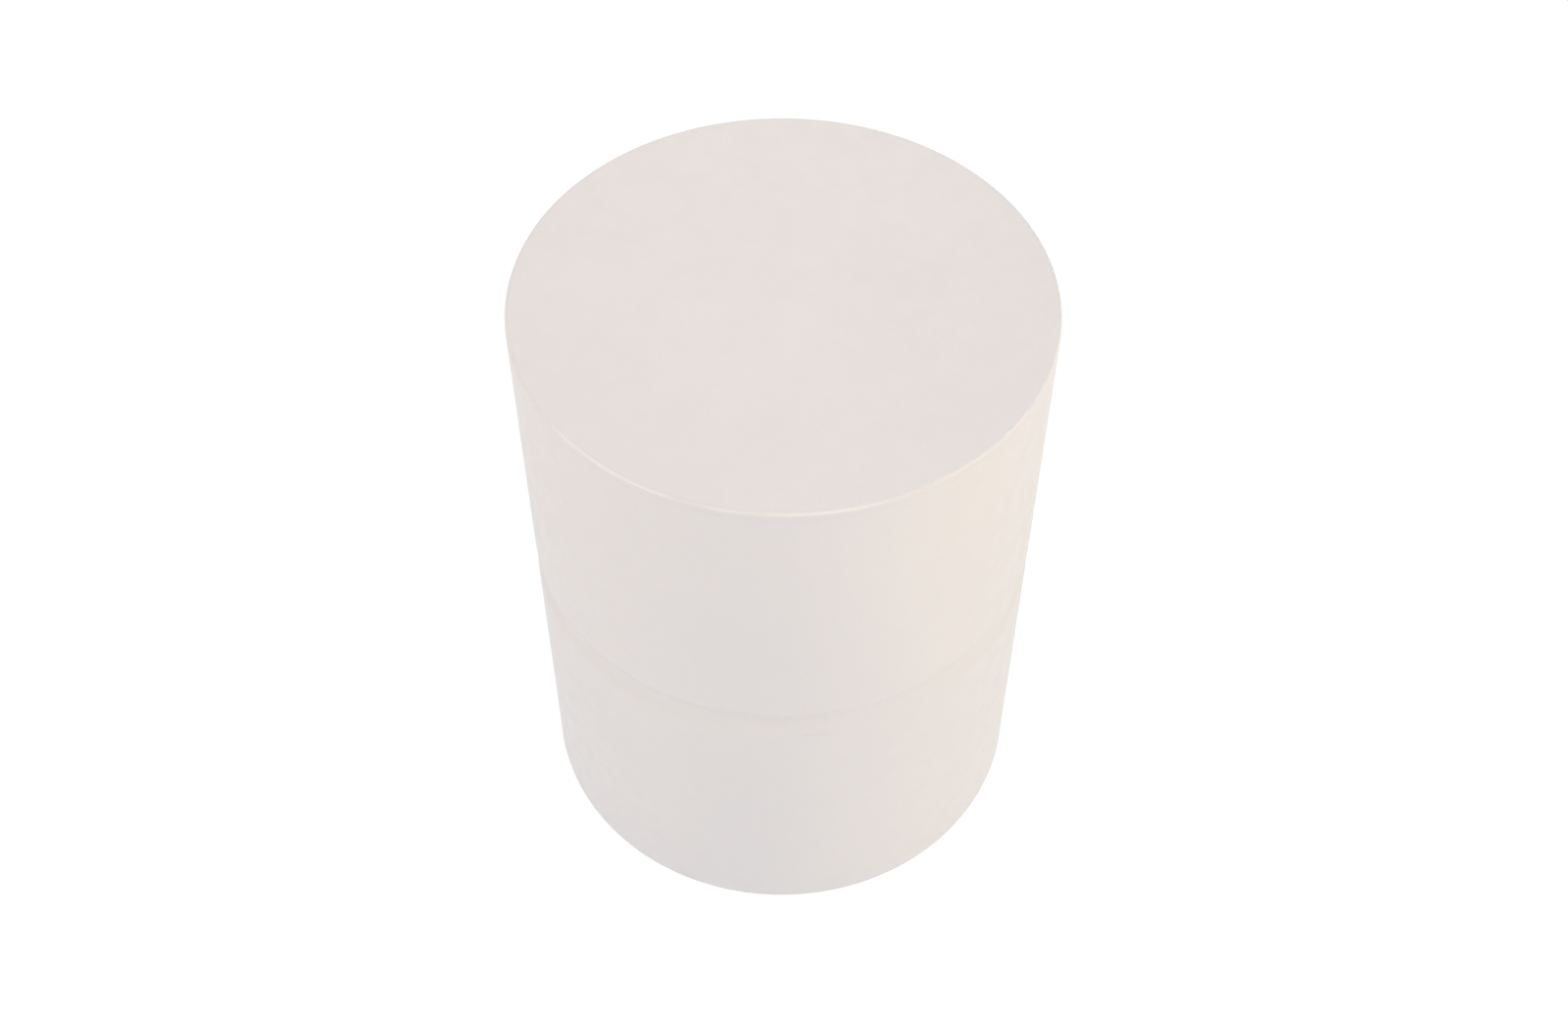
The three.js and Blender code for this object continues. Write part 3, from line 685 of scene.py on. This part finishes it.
def notch_cutter():
    """The lifting notch's shape: a flat slot through the back wall, rounded at its lower corners."""
    half, depth = NOTCH_HALF, NOTCH_DEPTH
    points = [(-half, 1.0)]
    points += [(-half + depth - depth * math.cos(a), -depth * math.sin(a)) for a in quarter(0)]
    points += [(half - depth + depth * math.sin(a), -depth * math.cos(a)) for a in quarter(0)]
    points.append((half, 1.0))
    ends = (RADIUS + NOTCH_REACH, RADIUS - NOTCH_REACH)
    places = [(x * MM, y * MM, (RIM + z) * MM) for y in ends for x, z in points]
    return prism("notch_cutter", places, len(points))


def make_shell():
    shell = turned("shell", shell_corners(), SHELL, segments=256)
    work(shell, WAVER, SHELL, wall_radius=RADIUS * MM, depth=WAVER_DEPTH * MM, lowest=0.012,
         highest=(RIM - 2) * MM)
    cutter = notch_cutter()
    work(shell, CUT, SHELL, cutter=cutter)
    done = fitted(shell, "drum", "drum_body")
    bpy.data.objects.remove(cutter)
    return done


# ---- the head and its necks ----


def make_head():
    raised = DECK_PANEL_RAISE
    corners = [
        (0, DECK_BOTTOM + raised),
        (DECK_PANEL, DECK_BOTTOM + raised, 5),
        (DECK_PANEL_EDGE, DECK_BOTTOM, 5),
        (COLLAR_OUTER, DECK_BOTTOM, 9),
        (COLLAR_OUTER, RIM, EASED_EDGE),
        (COLLAR_INNER, RIM, EASED_EDGE),
        (COLLAR_INNER, DECK_TOP, 6),
        (DECK_PANEL_EDGE, DECK_TOP, 5),
        (DECK_PANEL, DECK_TOP + raised, 5),
        (0, DECK_TOP + raised),
    ]
    head = turned("head", corners, SHELL, segments=192)
    radius = NECK_OUTER + GAP
    low, high = DECK_BOTTOM - 1, DECK_TOP + 1
    hole = [(0, low), (radius, low), (radius, high), (0, high)]
    cutters = []
    for side in (-1, 1):
        cutter = turned("hole_cutter", hole, SHELL, segments=96)
        work(cutter, SHIFT, SHELL, place=(side * NECK_OFFSET * MM, 0, 0))
        cutters.append(made(cutter))
        work(head, CUT, SHELL, cutter=cutters[-1])
    done = fitted(head, "drum", "drum_head")
    for cutter in cutters:
        bpy.data.objects.remove(cutter)
    return done


def make_neck(name, node, side):
    """A threaded neck, and the bead of its weld round its flange."""
    outer, flange = NECK_OUTER, NECK_FLANGE
    seat = DECK_TOP + GAP
    flange_top = seat + NECK_FLANGE_TALL
    corners = [
        (BORE, NECK_BOTTOM, EASED_EDGE),
        (outer, NECK_BOTTOM, EASED_EDGE),
        (outer, seat),
        (flange, seat),
        (flange, flange_top, 1.5),
        (outer, flange_top, 6),
        (outer, NECK_TOP, 1.5),
        (BORE, NECK_TOP, EASED_EDGE, 0.3),
    ]
    neck = turned(name, corners, NECK, segments=144, closed=True)
    bung_thread(neck, NECK, BORE, -BUNG_RIDGE, NECK_THREAD_START)
    work(neck, SHIFT, NECK, place=(side * NECK_OFFSET * MM, 0, 0))
    fitted(neck, "drum", node)
    bead = [
        (flange - 0.4, seat - 0.25, 0.15),
        (flange + 1.5, seat - 0.25, 0.4),
        (flange + 0.9, seat + 1.1, 0.5),
        (flange + 0.3, seat + 1.3, 0.2),
    ]
    weld = turned(name + "_weld", bead, SHELL, segments=144, closed=True)
    work(weld, SHIFT, SHELL, place=(side * NECK_OFFSET * MM, 0, 0))
    fitted(weld, "drum")


# ---- the cover ----


def make_cover():
    """The cover: its skirt with a snap bead, its seal's channel, and its ribs."""
    bead = COVER_BOTTOM + SNAP_BEAD_HEIGHT
    lip_inner = RADIUS - 2.7
    channel = RIM + 2.4 + 3 * GAP
    corners = [
        (0, UNDERSIDE),
        (SKIRT_INNER, UNDERSIDE, 2),
        (SKIRT_INNER, COVER_BOTTOM, EASED_EDGE),
        (SKIRT_OUTER, COVER_BOTTOM, EASED_EDGE),
        (SKIRT_OUTER, bead - SNAP_BEAD_HALF, 1),
        (SKIRT_OUTER + 0.8, bead, 1.5),
        (SKIRT_OUTER, bead + SNAP_BEAD_HALF, 1),
        (SKIRT_OUTER, channel, 0.4),
        (lip_inner, channel, 0.4),
        (lip_inner, FLANGE_BOTTOM, 0.4),
        (RADIUS, FLANGE_BOTTOM, SEAM_EDGE),
        (RADIUS, HEIGHT, COVER_ROUNDING),
        (0, HEIGHT),
    ]
    cover = turned("cover", corners, COVER, segments=256)
    low, high = RIB_BOTTOM + 1, UNDERSIDE + 0.4
    rings = []
    for middle in RIB_RINGS:
        inner, outer = middle - RIB_HALF, middle + RIB_HALF
        section = [(inner, low, 0.8), (outer, low, 0.8), (outer, high), (inner, high)]
        rings.append(turned("rib_ring", section, COVER, segments=128, closed=True))
    rings = [made(ring) for ring in rings]
    for ring in rings:
        work(cover, JOIN, COVER, other=ring)
    work(cover, BARS, COVER, count=12, from_radius=RIB_RINGS[0] * MM, to_radius=(SKIRT_INNER + 1) * MM,
         width=2 * RIB_HALF * MM, bottom=RIB_BOTTOM * MM, top=(UNDERSIDE + 1.2) * MM, rounding=0.8 * MM,
         first_turn=1 / 24)
    fitted(cover, "cover", "top_cover")
    for ring in rings:
        bpy.data.objects.remove(ring)


def make_ring(name, body, node, material, inner, outer, heights, side=0.0, segments=128):
    """A flat sealing ring."""
    low, high = heights
    soft = (high - low) / 4
    corners = [(inner, low, soft), (outer, low, soft), (outer, high, soft), (inner, high, soft)]
    ring = turned(name, corners, material, segments=segments, closed=True)
    work(ring, SHIFT, material, place=(side * MM, 0, 0))
    fitted(ring, body, node)


# ---- the bungs ----


def bung_blank(name, bottom, recess):
    """A large bung's body: its bottom, its threaded wall, its fluted flange and its recess."""
    flange = BUNG_GASKET[1] + GAP
    corners = [
        *bottom,
        (BUNG_CORE, BUNG_BOTTOM, 1.5, 0.3),
        (BUNG_CORE, flange, 0.5),
        (BUNG_FLANGE, flange, 0.8),
        (BUNG_FLANGE, BUNG_TOP, 1.5),
        *recess,
    ]
    bung = turned(name, corners, BUNG, segments=240, closed=not bottom)
    bung_thread(bung, BUNG, BUNG_CORE, BUNG_RIDGE, NECK_THREAD_START - BUNG_PITCH / 2)
    return work(bung, FLUTES, BUNG, rim_radius=BUNG_FLANGE * MM, flutes=30, depth=0.7 * MM)


def wrench_lugs(bung, inner, outer):
    """Four lugs for the bung wrench, between two radii of the recess."""
    return work(bung, BARS, BUNG, count=4, from_radius=inner * MM, to_radius=outer * MM,
                width=LUG_WIDTH * MM, bottom=(BUNG_FLOOR - 0.4) * MM, top=(BUNG_TOP - LUG_STEP) * MM,
                rounding=0.35 * MM, first_turn=0.125)


def make_fill_bung():
    rim = FILL_RECESS
    recess = [(rim, BUNG_TOP, 1), (rim - 0.5, BUNG_FLOOR, 2), (0, BUNG_FLOOR)]
    bung = bung_blank("fill_stopper", [(0, BUNG_BOTTOM)], recess)
    wrench_lugs(bung, rim - LUG_LENGTH, rim + 0.4)
    work(bung, SHIFT, BUNG, place=(-NECK_OFFSET * MM, 0, 0))
    fitted(bung, "fill_closure", "fill_bung")


def make_vent_bung():
    rim = VENT_RECESS
    recess = [
        (rim, BUNG_TOP, 0.8),
        (rim - 0.5, BUNG_FLOOR, 1),
        (PLUG_FLANGE + 0.5, BUNG_FLOOR, 1),
        (PLUG_FLANGE, BUNG_TOP, 0.8),
        (PLUG_BORE, BUNG_TOP, 0.6, 0.16),
        (PLUG_BORE, BUNG_BOTTOM, 0.6),
    ]
    bung = bung_blank("vent_stopper", [], recess)
    plug_thread(bung, BUNG, PLUG_BORE, -PLUG_RIDGE, PLUG_BORE_THREAD_START)
    wrench_lugs(bung, PLUG_FLANGE - 0.4, rim + 0.4)
    work(bung, SHIFT, BUNG, place=(NECK_OFFSET * MM, 0, 0))
    fitted(bung, "vent_closure", "vent_bung")


def make_vent_plug():
    """The small plug, with a square socket for its drive."""
    seat = PLUG_GASKET[1] + GAP
    corners = [
        (0, PLUG_BOTTOM),
        (PLUG_CORE, PLUG_BOTTOM, 0.8, 0.16),
        (PLUG_CORE, seat, 0.3),
        (PLUG_FLANGE, seat, 0.5),
        (PLUG_FLANGE, PLUG_TOP, 1),
        (0, PLUG_TOP),
    ]
    plug = turned("vent_plug_stopper", corners, PLUG, segments=192)
    plug_thread(plug, PLUG, PLUG_CORE, PLUG_RIDGE, PLUG_BORE_THREAD_START - PLUG_PITCH / 2)
    work(plug, FLUTES, PLUG, rim_radius=PLUG_FLANGE * MM, flutes=24, depth=0.4 * MM)
    edge = PLUG_SOCKET_CORNER
    middle = PLUG_SOCKET_HALF - edge
    points = []
    for i, (sx, sy) in enumerate(((1, 1), (-1, 1), (-1, -1), (1, -1))):
        angles = quarter(i * math.pi / 2, 4)
        points += [(sx * middle + edge * math.cos(a), sy * middle + edge * math.sin(a)) for a in angles]
    ends = (PLUG_TOP - PLUG_SOCKET_DEPTH, PLUG_TOP + 2)
    places = [(x * MM, y * MM, z * MM) for z in ends for x, y in points]
    cutter = prism("socket_cutter", places, len(points))
    work(plug, CUT, PLUG, cutter=cutter)
    work(plug, SHIFT, PLUG, place=(NECK_OFFSET * MM, 0, 0))
    fitted(plug, "plug_closure", "vent_plug")
    bpy.data.objects.remove(cutter)


make_shell()
make_head()
make_neck("fill_neck_threaded", "fill_neck", -1)
make_neck("vent_neck_threaded", "vent_neck", 1)
make_cover()
make_ring("cover_seal", "cover", "cover_gasket", FOAM, COLLAR_INNER, RADIUS - 3.0,
          COVER_GASKET, segments=256)
make_fill_bung()
make_ring("fill_seal_ring", "fill_seal", "fill_bung_gasket", RUBBER, BORE + RING_MARGIN,
          BUNG_FLANGE - RING_MARGIN, BUNG_GASKET, side=-NECK_OFFSET)
make_vent_bung()
make_ring("vent_seal_ring", "vent_seal", "vent_bung_gasket", RUBBER, BORE + RING_MARGIN,
          BUNG_FLANGE - RING_MARGIN, BUNG_GASKET, side=NECK_OFFSET)
make_vent_plug()
make_ring("plug_seal_ring", "plug_seal", "vent_plug_gasket", RUBBER, PLUG_BORE + RING_MARGIN,
          PLUG_FLANGE - RING_MARGIN, PLUG_GASKET, side=NECK_OFFSET, segments=96)

# ---- floor, light and camera ----


FLOOR_HALF = 120.0


def make_floor():
    """A plain pale floor, wide enough to reach behind the drum in a low view."""
    half = FLOOR_HALF
    mesh = bpy.data.meshes.new("floor")
    corners = [(-half, -half, 0), (half, -half, 0), (half, half, 0), (-half, half, 0)]
    mesh.from_pydata(corners, [], [(0, 1, 2, 3)])
    floor = bpy.data.objects.new("floor", mesh)
    bpy.context.scene.collection.objects.link(floor)
    paper = Finish("floor_paper", Base_Color=(0.08, 0.08, 0.08, 1), Roughness=1.0, Specular_IOR_Level=0.0,
                   Emission_Color=(0.985, 0.99, 1, 1), Emission_Strength=0.95)
    mesh.materials.append(paper.material)


def make_light(name, azimuth, elevation, distance, size, power, colour):
    """A soft square light aimed at the drum's middle. Azimuth 0 is the front, 90 the right."""
    lamp = bpy.data.lights.new(name, "AREA")
    lamp.shape = "SQUARE"
    lamp.size = size
    lamp.energy = power
    lamp.color = colour
    light = bpy.data.objects.new(name, lamp)
    a, e = math.radians(azimuth), math.radians(elevation)
    away = Vector((math.sin(a) * math.cos(e), -math.cos(a) * math.cos(e), math.sin(e)))
    light.location = Vector((0, 0, 0.4)) + away * distance
    light.rotation_mode = "QUATERNION"
    light.rotation_quaternion = (-away).to_track_quat("-Z", "Y")
    bpy.context.scene.collection.objects.link(light)


def make_world(colour, strength):
    world = bpy.data.worlds.new("studio")
    world.use_nodes = True
    background = world.node_tree.nodes["Background"]
    background.inputs["Color"].default_value = (*colour, 1)
    background.inputs["Strength"].default_value = strength
    bpy.context.scene.world = world


# The camera's angles are in degrees, and its distance and its target's height in drum radii.
# The frame's width, the focal length and the shift are in one unit, so only their ratios count.
CAMERA_ELEVATION, CAMERA_ROLL = 50.71, 0.326
CAMERA_DISTANCE, CAMERA_TARGET = 8.286, 1.398
SENSOR_WIDTH = 36.0
FRAME_WIDTH, FOCAL_LENGTH, FRAME_SHIFT = 1600, 2093.2, 1.8


def make_camera():
    """The camera stands in front of the drum and looks down at it, a very little rolled."""
    elevation, roll = math.radians(CAMERA_ELEVATION), math.radians(CAMERA_ROLL)
    distance = CAMERA_DISTANCE * RADIUS * MM
    target = Vector((0, 0, CAMERA_TARGET * RADIUS * MM))
    away = Vector((0, -math.cos(elevation), math.sin(elevation)))
    data = bpy.data.cameras.new("camera")
    data.sensor_width = SENSOR_WIDTH
    data.lens = SENSOR_WIDTH * FOCAL_LENGTH / FRAME_WIDTH
    data.shift_x = FRAME_SHIFT / FRAME_WIDTH
    camera = bpy.data.objects.new("camera", data)
    camera.location = target + away * distance
    camera.rotation_mode = "QUATERNION"
    camera.rotation_quaternion = (-away).to_track_quat("-Z", "Y") @ Quaternion((0, 0, 1), roll)
    bpy.context.scene.collection.objects.link(camera)
    bpy.context.scene.camera = camera


make_floor()
make_world((0.70, 0.81, 0.93), 1.0)
make_light("key", 76, 14, 3.0, 1.6, 15.5, (1.0, 0.66, 0.20))
make_light("right_edge", 72, 45, 3.0, 0.5, 8.5, (1.0, 0.85, 0.50))
make_light("left_edge", -80, 38, 3.0, 0.5, 16.0, (1.0, 0.66, 0.30))
make_light("front", 8, 38, 3.0, 1.6, 14.4, (1.0, 0.77, 0.52))
make_light("back", 180, 45, 3.0, 1.6, 12.0, (1.0, 0.70, 0.45))
make_camera()
bpy.context.scene.view_settings.view_transform = "Standard"
